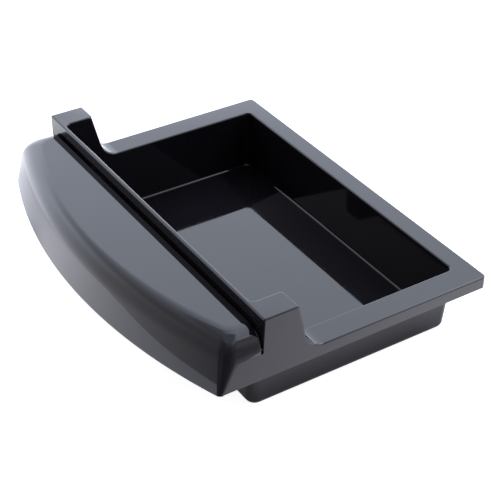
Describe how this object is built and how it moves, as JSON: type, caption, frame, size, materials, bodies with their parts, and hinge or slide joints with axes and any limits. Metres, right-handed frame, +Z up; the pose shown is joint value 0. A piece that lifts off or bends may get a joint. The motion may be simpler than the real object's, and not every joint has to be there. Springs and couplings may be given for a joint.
{
  "type": "pull-out collecting tray",
  "caption": "Gloss black pull-out collecting tray: a rectangular basin with a side and rear flange, a raised front wall with ears and a bow-fronted grip fascia.",
  "frame": {"origin": "centre of the flat underside of the basin, which is what the tray stands on", "axes": "-Y towards the fascia, which faces the user, +Y the way the tray slides in, +Z up, +X to the right of that user"},
  "size_m": [0.24, 0.1932, 0.0705],
  "materials": {
    "tub_plastic": "high-gloss moulded black, light hairline scuffs and specks of dust",
    "fascia_plastic": "high-gloss moulded black, light hairline scuffs and specks of dust",
    "screw_steel": "zinc plated, satin"
  },
  "bodies": {
    "root": {"tray_tub": "tub_plastic", "front_fascia": "fascia_plastic", "fascia_screws": "screw_steel"}
  },
  "joints": []
}
